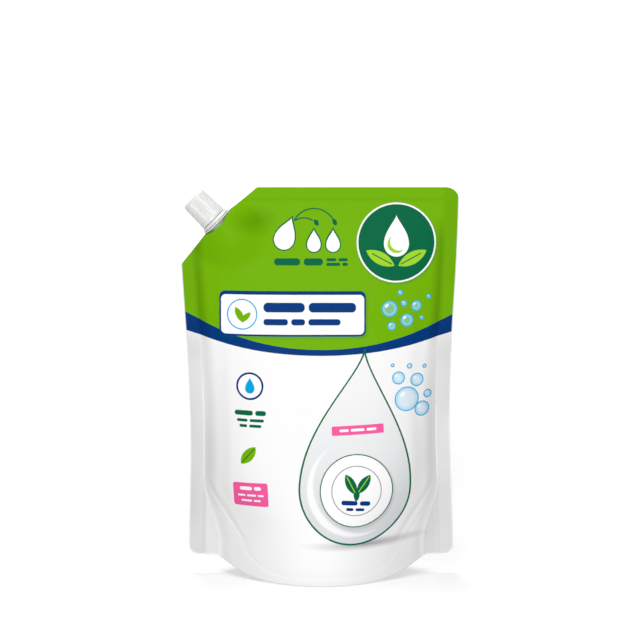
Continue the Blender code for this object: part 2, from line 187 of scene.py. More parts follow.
def sway(z):
    """The film leans this far towards its cut corner at height z, and away from it at the foot."""
    return SWAY * (2.0 * smoothstep(z / CUT_FOOT_HEIGHT) - 1.0)


SEAL_ACROSS = 1.0 - 2.0 * SIDE_SEAL / TOP_WIDTH


def x_at(across, z):
    """Sideways place of a cross coordinate, which is 1 at the film's edge and keeps to its fold."""
    fold, edge = bulge_half_width(z), half_width(z)
    if abs(across) <= SEAL_ACROSS:
        return across / SEAL_ACROSS * fold - sway(z)
    share = (abs(across) - SEAL_ACROSS) / (1.0 - SEAL_ACROSS)
    return math.copysign(fold + share * (edge - fold), across) - sway(z)


def across_at(x, z):
    """The cross coordinate of a point of the film."""
    fold, edge = bulge_half_width(z), half_width(z)
    x += sway(z)
    if abs(x) <= fold:
        return SEAL_ACROSS * x / fold
    share = (abs(x) - fold) / (edge - fold)
    return math.copysign(SEAL_ACROSS + share * (1.0 - SEAL_ACROSS), x)


CUT_TOP = Vector((CUT_WIDTH - TOP_WIDTH / 2.0, 0.0, POUCH_HEIGHT))
CUT_FOOT = Vector((x_at(-1.0, CUT_FOOT_HEIGHT), 0.0, CUT_FOOT_HEIGHT))
SPOUT_OUT = Vector((math.sin(SPOUT_TILT), 0.0, math.cos(SPOUT_TILT)))
SPOUT_ALONG = Vector((math.cos(SPOUT_TILT), 0.0, -math.sin(SPOUT_TILT)))
SPOUT_POINT = CUT_TOP.lerp(CUT_FOOT, SPOUT_SHARE) + SPOUT_OUT * CUT_CROWN


def at_spout(out, along):
    return SPOUT_POINT + SPOUT_OUT * out + SPOUT_ALONG * along


def spout_coordinates(x, z):
    """How far a point of the film lies out along the spout's axis, and along the cut edge."""
    offset = Vector((x, 0.0, z)) - SPOUT_POINT
    return offset.dot(SPOUT_OUT), offset.dot(SPOUT_ALONG)


def notch_points():
    """The film's edge dips in an arc below the flange."""
    points = []
    for k in range(NOTCH_STEPS + 1):
        share = 2.0 * k / NOTCH_STEPS - 1.0
        points.append(at_spout(-NOTCH_DEPTH * (1.0 - share**2), share * FLANGE_RADIUS))
    return points


CUT_EDGE = (CUT_FOOT, *notch_points(), CUT_TOP)
CUT_EDGE_ACROSS = tuple(across_at(p.x, p.z) for p in CUT_EDGE)


def top_edge(across):
    """Height of the film's top edge, up the cut corner and round the far corner."""
    for k in range(len(CUT_EDGE) - 1):
        if across <= CUT_EDGE_ACROSS[k + 1]:
            start, end = CUT_EDGE_ACROSS[k], CUT_EDGE_ACROSS[k + 1]
            share = (across - start) / (end - start)
            return CUT_EDGE[k].z + share * (CUT_EDGE[k + 1].z - CUT_EDGE[k].z)
    past = (across - 1.0) * TOP_WIDTH / 2.0 + TOP_CORNER_RADIUS
    if past <= 0.0:
        return POUCH_HEIGHT
    rise = math.sqrt(max(TOP_CORNER_RADIUS**2 - past**2, 0.0))
    return POUCH_HEIGHT - TOP_CORNER_RADIUS + rise


def bottom_edge(across):
    """Height of the film's lower edge: on the table in the middle, lifted at the two ears."""
    x = abs(x_at(across, 0.0) + sway(0.0))
    share = min(x / EAR_REACH, 1.0)
    height = EAR_LIFT * (1.0 - (1.0 - share**RIM_CURVE) ** EAR_EASE)
    past = x - (FOOT_WIDTH / 2.0 - EAR_RADIUS)
    if past > 0.0:
        height += EAR_RADIUS - math.sqrt(max(EAR_RADIUS**2 - past**2, 0.0))
    return height


def gusset_edge(across):
    """Height of the curved seal where the gusset leaves the panel."""
    share = min(abs(across) / SEAL_ACROSS, 1.0)
    return SKIRT_HEIGHT + (GUSSET_SIDE_HEIGHT - SKIRT_HEIGHT) * share**GUSSET_CURVE


CUT_SEAL_OUT = (CUT_TOP.dot(SPOUT_OUT) + CUT_FOOT.dot(SPOUT_OUT)) / 2.0 + CUT_CROWN - SPOUT_SEAL


def cut_seal_edge(x):
    """Height of the inner edge of the seal along the cut corner, above x."""
    return (CUT_SEAL_OUT - x * SPOUT_OUT.x) / SPOUT_OUT.z


def top_seal_edge(across):
    """Height where the panel starts to bulge, below the top seal and the cut corner's seal."""
    top = top_edge(across)
    x = x_at(across, top)
    return min(POUCH_HEIGHT - TOP_SEAL, cut_seal_edge(x), top - LEAST_TOP_SEAL)


# How far the film stands out from the middle plane


def belly(z):
    """Half the pouch's depth on its centre line."""
    share = min(max(z, 0.0) / (POUCH_HEIGHT - TOP_SEAL), 1.0)
    full = BELLY_HALF_DEPTH * (1.0 - share**BELLY_FALL) ** BELLY_TAPER
    return full - FOOT_TUCK * math.exp(-max(z, 0.0) / FOOT_TUCK_REACH)


def tent(x, z):
    """Half depth of the film where the spout's base holds the two panels apart."""
    out, along = spout_coordinates(x, z)
    share = along / (BASE_HALF_LENGTH + WELD_GAP + WELD_END_COVER)
    if abs(share) >= 1.0:
        return 0.0
    inner_end = BASE_TOP - BASE_HEIGHT
    fade = smoothstep((out - inner_end) / BASE_HEIGHT / TENT_FADE + 1.0)
    return (BASE_HALF_THICKNESS + WELD_GAP + WELD_COVER) * (1.0 - share**2) ** TENT_ROUNDNESS * fade


def film_noise(x, z, side, width, height, seed):
    """Noise over one panel. The other panel has its own."""
    return noise.noise(Vector((x / width, side * seed, z / height)))


def folds(x, z, from_seal, side):
    """Soft upright folds that the side seals gather, and the small crumple of a filled film."""
    reach = smoothstep(from_seal / FOLD_REACH * 2.0) * smoothstep(2.0 - from_seal / FOLD_REACH * 2.0)
    wander = FOLD_WANDER_SHARE * film_noise(x, z, side, *FOLD_WANDER)
    upright = math.sin(math.tau * (from_seal / FOLD_SPACING + wander))
    height = smoothstep((z - FOLDS_START) / FOLDS_START_BLEND)
    height *= smoothstep((FOLDS_END - z) / FOLDS_END_BLEND)
    crumple = film_noise(x, z, side, *COARSE_CRUMPLE)
    crumple += FINE_CRUMPLE_SHARE * film_noise(x, z, side, *FINE_CRUMPLE)
    return FOLD_HEIGHT * upright * reach * height + CRUMPLE * crumple


def corner_crease(x, z):
    """The slanting crease in each lower corner, from the foot up to the side seal."""
    start_x, start_z = CORNER_CREASE_START
    along = abs(x) - start_x
    past = (z - start_z - CORNER_CREASE_SLOPE * along) / math.hypot(1.0, CORNER_CREASE_SLOPE)
    groove = math.exp(-((past / CORNER_CREASE_WIDTH) ** 2))
    past_ridge = past - CORNER_RIDGE_OFFSET * CORNER_CREASE_WIDTH
    ridge = math.exp(-((past_ridge / CORNER_CREASE_WIDTH / CORNER_RIDGE_SPREAD) ** 2))
    shown = smoothstep((along + CORNER_CREASE_LEAD) / CORNER_CREASE_LEAD_BLEND)
    shown *= smoothstep((CORNER_CREASE_END - along) / CORNER_CREASE_END_BLEND)
    return CORNER_CREASE * (CORNER_RIDGE_SHARE * ridge - groove) * shown


def half_depth(x, z, side=0):
    """Distance of the outer skin from the middle plane. A side, -1 or 1, adds that panel's folds."""
    left, right = x_at(-SEAL_ACROSS, z), x_at(SEAL_ACROSS, z)
    left = max(left, (CUT_SEAL_OUT - z * SPOUT_OUT.z) / SPOUT_OUT.x)
    share = (2.0 * x - left - right) / (right - left)
    bulge = 0.0
    if abs(share) < 1.0:
        flank = smoothstep((z - FLANK_START) / ROUNDNESS_BLEND)
        roundness = FOOT_ROUNDNESS + (FLANK_ROUNDNESS - FOOT_ROUNDNESS) * flank
        flank = smoothstep((z - FLANK_START) / FLATNESS_BLEND)
        flatness = FOOT_FLATNESS + (FLANK_FLATNESS - FOOT_FLATNESS) * flank
        bulge = max(belly(z), 0.0) * (1.0 - abs(share) ** flatness) ** roundness
        if side:
            from_seal = min(x - left, right - x)
            shown = smoothstep(bulge / FOLDS_FULL_BULGE)
            bulge += (folds(x, z, from_seal, side) + corner_crease(x, z)) * shown
    return FILM + rounded_max(max(bulge, 0.0), tent(x, z))


def ripple(across, z):
    """Sideways wave of the flat side seals, which both panels share."""
    past = max(abs(across) - SEAL_ACROSS, 0.0) / (1.0 - SEAL_ACROSS)
    clear = smoothstep((CUT_FOOT_HEIGHT - z) / RIPPLE_FADE) if across < 0.0 else 1.0
    wave = math.sin(z / LONG_RIPPLE + across)
    wave += SHORT_RIPPLE_SHARE * math.sin(z / SHORT_RIPPLE + 2.0 * across)
    return RIPPLE * past**RIPPLE_GROWTH * wave * clear


# The film's mesh


def column_places():
    """Cross coordinates of the mesh's columns, close together at the margins and the spout."""
    seal, steps = SEAL_ACROSS, MARGIN_COLUMNS
    margin = [seal + (1.0 - seal) * math.sin(math.pi / 2.0 * k / steps) for k in range(steps + 1)]
    fixed = sorted([-m for m in margin] + margin + list(CUT_EDGE_ACROSS[1:]))
    places = list(fixed)
    for k in range(1, INNER_COLUMNS):
        place = seal * math.cos(math.pi * k / INNER_COLUMNS)
        if all(abs(place - other) > LEAST_COLUMN_ROOM for other in fixed):
            places.append(place)
    return sorted(places)


def column_heights(across):
    """Heights of one column's points: up the skirt, up the panel and across the top seal."""
    bottom, gusset = bottom_edge(across), gusset_edge(across)
    seal, top = top_seal_edge(across), top_edge(across)
    heights = [bottom + (gusset - bottom) * k / SKIRT_ROWS for k in range(SKIRT_ROWS)]
    for k in range(PANEL_ROWS):
        share = 1.0 - (1.0 - k / PANEL_ROWS) ** PANEL_ROW_EASE
        heights.append(gusset + (seal - gusset) * share)
    heights += [seal + (top - seal) * k / SEAL_ROWS for k in range(SEAL_ROWS + 1)]
    return heights


def gusset_height(across, share):
    """Height of the gusset film, where share is 0 in the middle and 1 at a panel."""
    edge = gusset_edge(across)
    x = abs(x_at(across, 0.0) + sway(0.0))
    rise = max(x - GUSSET_FLAT_HALF, 0.0) / (RIM_HALF_WIDTH - GUSSET_FLAT_HALF)
    middle = min(GUSSET_SIDE_HEIGHT * rise**GUSSET_BOW, edge)
    outer = smoothstep((abs(share) - GUSSET_FLAT_SHARE) / (1.0 - GUSSET_FLAT_SHARE))
    return middle + (edge - middle) * outer


def strip(bm, first, second):
    """Faces between two rows of points that run side by side. Shared points make triangles."""
    for k in range(len(first) - 1):
        corners = [first[k], first[k + 1], second[k + 1], second[k]]
        distinct = list(dict.fromkeys(corners))
        if len(distinct) > 2:
            bm.faces.new(distinct)


def panel(bm, columns, side):
    """Points of one outer skin, column by column. The front is side -1 and the back is side 1."""
    skin = []
    for c in columns:
        points = []
        for z in column_heights(c):
            x = x_at(c, z)
            crease = (z - gusset_edge(c)) / CREASE_WIDTH
            depth = half_depth(x, z, side) - CREASE_DEPTH * math.exp(-(crease**2))
            depth = max(depth, FILM)
            points.append(bm.verts.new((x, side * depth + ripple(c, z), z)))
        skin.append(points)
    return skin


def from_edge(x, z):
    """How far a point lies inside the film's side and lower cut edges, in millimetres."""
    side = half_width(z) - abs(x + sway(z))
    return max(min(side, z - bottom_edge(across_at(x, z))), 0.0)


def on_front(x, y, z):
    """1 on the front skin and 0 on the back one, also where both ripple."""
    return 1.0 if y < ripple(across_at(x, z), z) else 0.0


def store_places(mesh):
    """Keeps on the mesh, for the material, how far each point is from the cut edge, and its side."""
    places = [v.co / MM for v in mesh.vertices]
    for name, values in (
        ("from_edge", [from_edge(p.x, p.z) for p in places]),
        ("on_front", [on_front(*p) for p in places]),
    ):
        mesh.attributes.new(name, "FLOAT", "POINT").data.foreach_set("value", values)


def flap(bm, across, side):
    """Points of the skirt's inner face in one column, up to the seal where the gusset leaves it."""
    points = []
    for z in column_heights(across)[: SKIRT_ROWS + 1]:
        x = x_at(across, z)
        depth = half_depth(x, z) - SKIRT_WALL if side else 0.0
        points.append(bm.verts.new((x, side * depth, z)))
    return points


def gusset_row(bm, across, front_flap, back_flap):
    """Points of the gusset from the front panel to the back one, in one column."""
    front, back = front_flap[-1], back_flap[-1]
    points = [front]
    for k in range(1, GUSSET_POINTS):
        share = 2.0 * k / GUSSET_POINTS - 1.0
        z = gusset_height(across, share)
        points.append(bm.verts.new((x_at(across, z), share * back.co.y, z)))
    return points + [back]


def underside(bm, columns, front, back):
    """The skirt's inner faces, the gusset between them, and the lower edges of both panels."""
    inside = [i for i, c in enumerate(columns) if abs(c) <= SEAL_ACROSS + ROUNDING]
    first, final = inside[0], inside[-1]
    flaps, gusset = {}, {}
    for i in inside:
        if i in (first, final):
            spine = flap(bm, columns[i], 0)
            flaps[i] = (spine, spine)
            gusset[i] = [spine[-1]] * (GUSSET_POINTS + 1)
        else:
            flaps[i] = (flap(bm, columns[i], -1), flap(bm, columns[i], 1))
            gusset[i] = gusset_row(bm, columns[i], *flaps[i])
    for i, n in zip(inside, inside[1:]):
        strip(bm, gusset[i], gusset[n])
        for skin, f in ((front, 0), (back, 1)):
            strip(bm, flaps[i][f], flaps[n][f])
            strip(bm, [skin[i][0], skin[n][0]], [flaps[i][f][0], flaps[n][f][0]])
    for end, step in ((first, -1), (final, 1)):
        spine_foot = flaps[end][0][0]
        n = end + step
        bm.faces.new((front[n][0], front[end][0], spine_foot, back[end][0], back[n][0]))
        while 0 <= n + step < len(columns):
            strip(bm, [front[n][0], front[n + step][0]], [back[n][0], back[n + step][0]])
            n += step


def as_mesh(name, bm):
    mesh = bpy.data.meshes.new(name)
    bm.to_mesh(mesh)
    bm.free()
    return mesh


def finished_mesh(name, bm):
    """A closed mesh out of faces whose points are in millimetres."""
    bmesh.ops.recalc_face_normals(bm, faces=bm.faces)
    bmesh.ops.scale(bm, vec=(MM, MM, MM), verts=bm.verts)
    return as_mesh(name, bm)


def film_mesh():
    """Front and back panels, the sealed margins, the skirt and the gusset as one closed skin."""
    bm = bmesh.new()
    columns = column_places()
    front, back = panel(bm, columns, -1), panel(bm, columns, 1)
    for skin in (front, back):
        for first, second in zip(skin, skin[1:]):
            strip(bm, first, second)
    for k in (0, -1):
        strip(bm, front[k], back[k])
    strip(bm, [column[-1] for column in front], [column[-1] for column in back])
    underside(bm, columns, front, back)
    return finished_mesh("film", bm)


def lens(half_length, half_thickness, height, count):
    """A pointed boat outline, as the weld base of a pouch spout has."""
    points = []
    for k in range(count):
        angle = math.tau * k / count
        y = half_thickness * math.sin(angle) * abs(math.sin(angle))
        points.append(Vector((half_length * math.cos(angle), y, height)))
    return points


def pocket_mesh():
    """The room that the spout's weld base fills, for cutting out of the film."""
    bm = bmesh.new()
    half_length = BASE_HALF_LENGTH + WELD_GAP
    half_thickness = BASE_HALF_THICKNESS + WELD_GAP
    ends = (BASE_TOP - BASE_HEIGHT - WELD_GAP, NOTCH_DEPTH + CUT_CROWN)
    place = Matrix.Translation(SPOUT_POINT) @ Matrix.Rotation(SPOUT_TILT, 4, "Y")
    lower, upper = (
        [bm.verts.new(place @ p) for p in lens(half_length, half_thickness, z, POCKET_POINTS)]
        for z in ends
    )
    for k in range(POCKET_POINTS):
        n = (k + 1) % POCKET_POINTS
        bm.faces.new((lower[k], lower[n], upper[n], upper[k]))
    bm.faces.new(lower[::-1])
    bm.faces.new(upper)
    return finished_mesh("spout_pocket", bm)


def new_object(name, mesh):
    thing = bpy.data.objects.new(name, mesh)
    bpy.context.scene.collection.objects.link(thing)
    return thing


def cut(thing, cutter):
    """Takes the cutter out of the object's mesh."""
    modifier = thing.modifiers.new("cut", "BOOLEAN")
    modifier.operation = "DIFFERENCE"
    modifier.solver = "EXACT"
    modifier.object = cutter
    graph = bpy.context.evaluated_depsgraph_get()
    mesh = bpy.data.meshes.new_from_object(thing.evaluated_get(graph))
    thing.modifiers.clear()
    thing.data = mesh
    bpy.data.objects.remove(cutter)


def make_film(material):
    film = new_object("printed_film", film_mesh())
    cut(film, new_object("spout_pocket", pocket_mesh()))
    store_places(film.data)
    film.data.materials.clear()
    film.data.materials.append(material)
    film.data.shade_smooth()
    film.data.set_sharp_from_angle(angle=SHARP_ANGLE)
    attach(film, "pack")
    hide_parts("pouch")


# Materials

# Forms of the print's shapes
PRINT_SOFTNESS = 0.25
BAR_ROUNDNESS = 2.2
DROP_FLANK = 1.5
STAIN_FALL = 1.3


class Shapes:
    """Builds flat shapes in a shader as distances in millimetres, below 0 inside a shape."""

    def __init__(self, tree):
        self.tree = tree
        place = tree.nodes.new("ShaderNodeTexCoord").outputs["Object"]
        self.place = place
        self.point = self.vector("MULTIPLY", place, (1.0 / MM, 0.0, 1.0 / MM))

    def math(self, operation, *values, clamp=False):
        node = self.tree.nodes.new("ShaderNodeMath")
        node.operation = operation
        node.use_clamp = clamp
        for socket, value in zip(node.inputs, values):
            self.put(socket, value)
        return node.outputs[0]

    def vector(self, operation, *values):
        node = self.tree.nodes.new("ShaderNodeVectorMath")
        node.operation = operation
        for socket, value in zip(node.inputs, values):
            self.put(socket, value)
        return node.outputs["Value" if operation in ("LENGTH", "DOT_PRODUCT") else "Vector"]

    def put(self, socket, value):
        if isinstance(value, bpy.types.NodeSocket):
            self.tree.links.new(value, socket)
        else:
            socket.default_value = value

    def parts(self, vector):
        node = self.tree.nodes.new("ShaderNodeSeparateXYZ")
        self.tree.links.new(vector, node.inputs[0])
        return node.outputs

    def about(self, x, z, turn=0.0, point=None):
        """The point as seen from a centre, turned by an angle."""
        moved = self.vector("SUBTRACT", point or self.point, (x, 0.0, z))
        if not turn:
            return moved
        c, s = math.cos(turn), math.sin(turn)
        across = self.vector("DOT_PRODUCT", moved, (c, 0.0, s))
        up = self.vector("DOT_PRODUCT", moved, (-s, 0.0, c))
        node = self.tree.nodes.new("ShaderNodeCombineXYZ")
        self.tree.links.new(across, node.inputs[0])
        self.tree.links.new(up, node.inputs[2])
        return node.outputs[0]

    def circle(self, x, z, radius, point=None):
        return self.math("SUBTRACT", self.vector("LENGTH", self.about(x, z, 0.0, point)), radius)

    def oval(self, x, z, half_width, half_height, turn=0.0, point=None):
        local = self.vector("DIVIDE", self.about(x, z, turn, point), (half_width, 1.0, half_height))
        least = min(half_width, half_height)
        return self.math("MULTIPLY_ADD", self.vector("LENGTH", local), least, -least)

    def box(self, x, z, half_width, half_height, radius, turn=0.0, point=None):
        """A rectangle with rounded corners."""
        local = self.vector("ABSOLUTE", self.about(x, z, turn, point))
        core = (half_width - radius, 0.0, half_height - radius)
        local = self.vector("MAXIMUM", self.vector("SUBTRACT", local, core), (0.0, 0.0, 0.0))
        return self.math("SUBTRACT", self.vector("LENGTH", local), radius)

    def words(self, x, z, height, widths, gap, point=None):
        """A row of rounded bars that starts at x, as wide as given."""
        bars = []
        for width in widths:
            half = width / 2.0
            bars.append(self.box(x + half, z, half, height / 2.0, height / BAR_ROUNDNESS, 0.0, point))
            x += width + gap
        return self.either(*bars)

    def drop(self, x, z, radius, rise, turn=0.0, point=None):
        """A water drop: a circle that runs up to a tip."""
        local = self.about(x, z, turn, point)
        across, _, up = self.parts(local)
        share = self.math("DIVIDE", up, rise, clamp=True)
        narrowing = self.math("MULTIPLY_ADD", self.math("MULTIPLY", share, share), -1.0, 1.0)
        flank = self.math("MULTIPLY", self.math("POWER", narrowing, DROP_FLANK), radius)
        upper = self.math("SUBTRACT", self.math("ABSOLUTE", across), flank)
        lower = self.math("SUBTRACT", self.vector("LENGTH", local), radius)
        upper = self.math("MAXIMUM", upper, self.math("SUBTRACT", up, rise))
        return self.choose(self.math("GREATER_THAN", up, 0.0), lower, upper)

    def leaf(self, x, z, length, width, turn=0.0, point=None):
        """A pointed leaf along its own upright axis: where two circles overlap."""
        local = self.about(x, z, turn, point)
        radius = (length**2 / 4.0 + width**2 / 4.0) / width
        shift = radius - width / 2.0
        right, left = (self.circle(x, 0.0, radius, local) for x in (shift, -shift))
        return self.both(right, left)

    def ring(self, distance, half_thickness):
        """A line along a shape's edge."""
        return self.math("SUBTRACT", self.math("ABSOLUTE", distance), half_thickness)

    def either(self, *shapes):
        """One shape out of several."""
        whole = shapes[0]
        for shape in shapes[1:]:
            whole = self.math("MINIMUM", whole, shape)
        return whole

    def both(self, a, b):
        """Where two shapes overlap."""
        return self.math("MAXIMUM", a, b)

    def less(self, a, b):
        """The first shape without the second."""
        return self.math("MAXIMUM", a, self.math("MULTIPLY", b, -1.0))

    def choose(self, share, a, b):
        """A value that passes from a to b as the share runs from 0 to 1."""
        node = self.tree.nodes.new("ShaderNodeMix")
        self.put(node.inputs["Factor"], share)
        self.put(node.inputs["A"], a)
        self.put(node.inputs["B"], b)
        return node.outputs["Result"]

    def mask(self, distance, softness=PRINT_SOFTNESS, strength=1.0):
        """1 inside a shape and 0 outside, or as much as the strength says."""
        cover = self.math("MULTIPLY_ADD", distance, -1.0 / softness, 0.5, clamp=True)
        return cover if strength == 1.0 else self.math("MULTIPLY", cover, strength)

    def paint(self, colour, mask, new_colour):
        """Lays a colour over another where the mask is 1."""
        node = self.tree.nodes.new("ShaderNodeMix")
        node.data_type = "RGBA"
        self.put(node.inputs["Factor"], mask)
        self.put(node.inputs["A"], colour)
        self.put(node.inputs["B"], new_colour)
        return node.outputs["Result"]

    def darker(self, colour, share):
        """Takes a share of the light out of a colour."""
        return self.paint(colour, share, BLACK)

    def attribute(self, name):
        node = self.tree.nodes.new("ShaderNodeAttribute")
        node.attribute_name = name
        return node.outputs["Fac"]

    def soft_oval(self, x, z, half_width, half_height, strength):
        """An oval stain that is strongest in its middle and has no edge."""
        local = self.vector("DIVIDE", self.about(x, z), (half_width, 1.0, half_height))
        inside = self.math("SUBTRACT", 1.0, self.vector("LENGTH", local), clamp=True)
        return self.math("MULTIPLY", self.math("POWER", inside, STAIN_FALL), strength)

    def ramp(self, value, start, end, low, high):
        """A value eased from low to high while another runs from start to end."""
        node = self.tree.nodes.new("ShaderNodeMapRange")
        node.interpolation_type = "SMOOTHSTEP"
        for socket, number in zip(node.inputs, (value, start, end, low, high)):
            self.put(socket, number)
        return node.outputs[0]

    def from_seal_lines(self):
        """How far a point lies past the fold that bulge_half_width gives, and past the side seal."""
        x, _, z = self.parts(self.point)
        half = self.ramp(z, 0.0, WAIST_HEIGHT, FOOT_WIDTH / 2.0, WAIST_WIDTH / 2.0)
        widening = self.ramp(z, WAIST_HEIGHT, POUCH_HEIGHT, 0.0, (TOP_WIDTH - WAIST_WIDTH) / 2.0)
        half = self.math("ADD", half, widening)
        opened = self.ramp(z, EAR_FOLD_START, EAR_FOLD_END, 0.0, 1.0)
        fold = self.math("SUBTRACT", half, SIDE_SEAL + RIM_HALF_WIDTH)
        fold = self.math("MULTIPLY_ADD", fold, opened, RIM_HALF_WIDTH)
        centred = self.math("ADD", x, self.ramp(z, 0.0, CUT_FOOT_HEIGHT, -SWAY, SWAY))
        aside = self.math("ABSOLUTE", centred)
        seal = self.math("SUBTRACT", half, SIDE_SEAL)
        return self.math("SUBTRACT", aside, fold), self.math("SUBTRACT", aside, seal)


def linear(red, green, blue):
    """A screen colour, 0 to 255, as the shader takes it."""
    shares = [value / 255.0 for value in (red, green, blue)]
    channels = [c / 12.92 if c <= 0.04045 else ((c + 0.055) / 1.055) ** 2.4 for c in shares]
    return (*channels, 1.0)


GREEN = linear(111, 173, 0)
LIME = linear(154, 207, 44)
NAVY = linear(0, 54, 120)
WHITE = linear(243, 242, 242)
# Painted light: a lighter white that the film fades into towards the foot
PAINTED_LIGHT_FOOT_WHITE = linear(247, 246, 246)
PAPER = linear(247, 247, 247)
# The film's pale cut edge, partly a painted highlight
PALE_EDGE_AND_HIGHLIGHT = linear(231, 230, 232)
DARK_GREEN = linear(0, 100, 64)
GREY = linear(214, 218, 220)
MIST = linear(158, 156, 162)
CYAN = linear(0, 158, 218)
SKY = linear(150, 214, 240)
PINK = linear(241, 90, 156)
MILK, LIGHT_MILK = linear(216, 217, 214), linear(226, 227, 225)
BLACK = (0.0, 0.0, 0.0, 1.0)
FULL_WHITE = (1.0, 1.0, 1.0, 1.0)

# The colour areas: the heights where one passes into the next, the painted lighter white of the foot
# first, and each arc's middle and radius
PAINTED_LIGHT_FOOT_WHITE_TOP, WHITE_FOOT = 25.0, 80.0
WHITE_TOP, GREEN_FOOT = 150.0, 176.0
NAVY_ARC = (1.0, 436.0, 285.0)
GREEN_ARC = (1.0, 341.8, 187.0)

# Painted shade over the sealed margins, more on the right ear than on the left and less in the green,
# with noisy streaks of painted light and shade
SEAL_BLEND = 3.0
SEAL_PAINTED_SHADE = 0.27
SEAL_SHADE_STREAKS = 0.13
SEAL_STREAK_SCALE = 30.0
SEAL_STREAK_STRETCH = (1.0, 1.0, 0.4)
GREEN_SEAL_PAINTED_SHADE = 0.08
LEFT_EAR_PAINTED_SHADE = 0.22
RIGHT_EAR_PAINTED_SHADE = 0.32
EAR_MIDDLE = 80.0
EAR_BLEND = 3.0

# Painted shade in fine lines along the side seals and under the top seal, in soft bands along the folds
# and beside the spout, and the pale cut edge, partly a painted highlight
LINE_HALF = 0.5
LINE_BLEND = 2.0
SEAL_LINE_PAINTED_SHADE = 0.07
SEAL_LINE_FADE = (60.0, 100.0)
TOP_CREASE_SHADE = 0.12
EDGE_WIDTH = 0.9
EDGE_BLEND = 0.5
FOLD_SHADE = 0.1
GREEN_FOLD_SHADE = 0.27
FOLD_SHADE_PLACE = 3.2
GREEN_FOLD_SHADE_PLACE = 1.0
FOLD_SHADE_HALF = 3.0
FOLD_SHADE_BLEND = 5.0
FOLD_SHADE_FADE = (222.0, 246.0)
SPOUT_SHADE = (-43.5, 238.0, 10.5, 6.5)
SPOUT_SHADE_BLEND = 9.0
SPOUT_SHADE_STRENGTH = 0.25

# Grain of the surfaces: noise scales by the metre, and depths in metres
FILM_ROUGHNESS, FILM_ROUGHNESS_SCALE = (0.36, 0.5), 90.0
FILM_GRAIN_SCALE, FILM_GRAIN_DETAIL = 420.0, 3.0
FILM_GRAIN, FILM_GRAIN_DEPTH = 0.12, 0.0004
PLASTIC_CLOUD_SCALE = 160.0
PLASTIC_ROUGHNESS, PLASTIC_ROUGHNESS_SCALE = (0.24, 0.4), 600.0
PLASTIC_GRAIN_SCALE, PLASTIC_GRAIN_DETAIL = 700.0, 2.0
PLASTIC_GRAIN, PLASTIC_GRAIN_DEPTH = 0.05, 0.0002

# Soap bubbles: half the rim, how the blue clears by the millimetre inwards, and its least cover
BUBBLE_RIM_HALF = 0.3
BUBBLE_CLEARING = 0.32
BUBBLE_LEAST_COVER = 0.3


def bubble_glint(s, x, z, radius):
    """The bright spot at the upper left of a bubble."""
    return s.oval(x - 0.36 * radius, z + 0.38 * radius, 0.26 * radius, 0.16 * radius, math.pi / 4.0)


def bubbles(s, colour, places):
    """Soap bubbles: a blue rim over a pale inside, with a bright glint."""
    inside = s.either(*[s.circle(x, z, radius) for x, z, radius in places])
    middles = [s.circle(x, z, radius - BUBBLE_RIM_HALF) for x, z, radius in places]
    rim = s.either(*[s.ring(middle, BUBBLE_RIM_HALF) for middle in middles])
    glint = s.either(*[bubble_glint(s, *place) for place in places])
    shade = s.math("MULTIPLY_ADD", inside, BUBBLE_CLEARING, 1.0, clamp=True)
    shade = s.math("MULTIPLY_ADD", shade, 1.0 - BUBBLE_LEAST_COVER, BUBBLE_LEAST_COVER)
    colour = s.paint(colour, s.math("MULTIPLY", s.mask(inside), shade), SKY)
    colour = s.paint(colour, s.mask(rim), CYAN)
    return s.paint(colour, s.mask(glint), PAPER)


def colour_fields(s):
    """Green above, white below, and a navy crescent between them, on both panels. The white turns
    lighter towards the foot as painted light.
    """
    _, _, z = s.parts(s.point)
    white = s.paint(PAINTED_LIGHT_FOOT_WHITE, s.ramp(z, PAINTED_LIGHT_FOOT_WHITE_TOP, WHITE_FOOT, 0.0, 1.0), WHITE)
    colour = s.paint(white, s.mask(s.circle(*NAVY_ARC)), NAVY)
    return s.paint(colour, s.mask(s.circle(*GREEN_ARC)), GREEN)


def medallion(s, colour):
    """Round dark badge with a drop over two leaves."""
    x, z = 50.0, 224.0
    colour = s.paint(colour, s.mask(s.circle(x + 0.6, z - 1.0, 26.2), 2.5, 0.35), DARK_GREEN)
    colour = s.paint(colour, s.mask(s.circle(x, z, 26.0)), PAPER)
    colour = s.paint(colour, s.mask(s.circle(x, z, 24.9)), DARK_GREEN)
    leaves, veins = [], []
    for side in (-1.0, 1.0):
        leaves.append(s.leaf(x + 10.5 * side, z - 10.2, 21.0, 8.0, -1.08 * side))
        veins.append(s.box(x + 9.5 * side, z - 10.6, 0.35, 7.5, 0.3, -1.08 * side))
    colour = s.paint(colour, s.mask(s.less(s.either(*leaves), s.either(*veins))), LIME)
    colour = s.paint(colour, s.mask(s.drop(x, z - 1.0, 8.2, 19.0)), PAPER)
    inner = s.less(s.circle(x, z - 1.0, 5.9), s.circle(x + 1.7, z + 0.6, 5.9))
    return s.paint(colour, s.mask(inner), LIME)


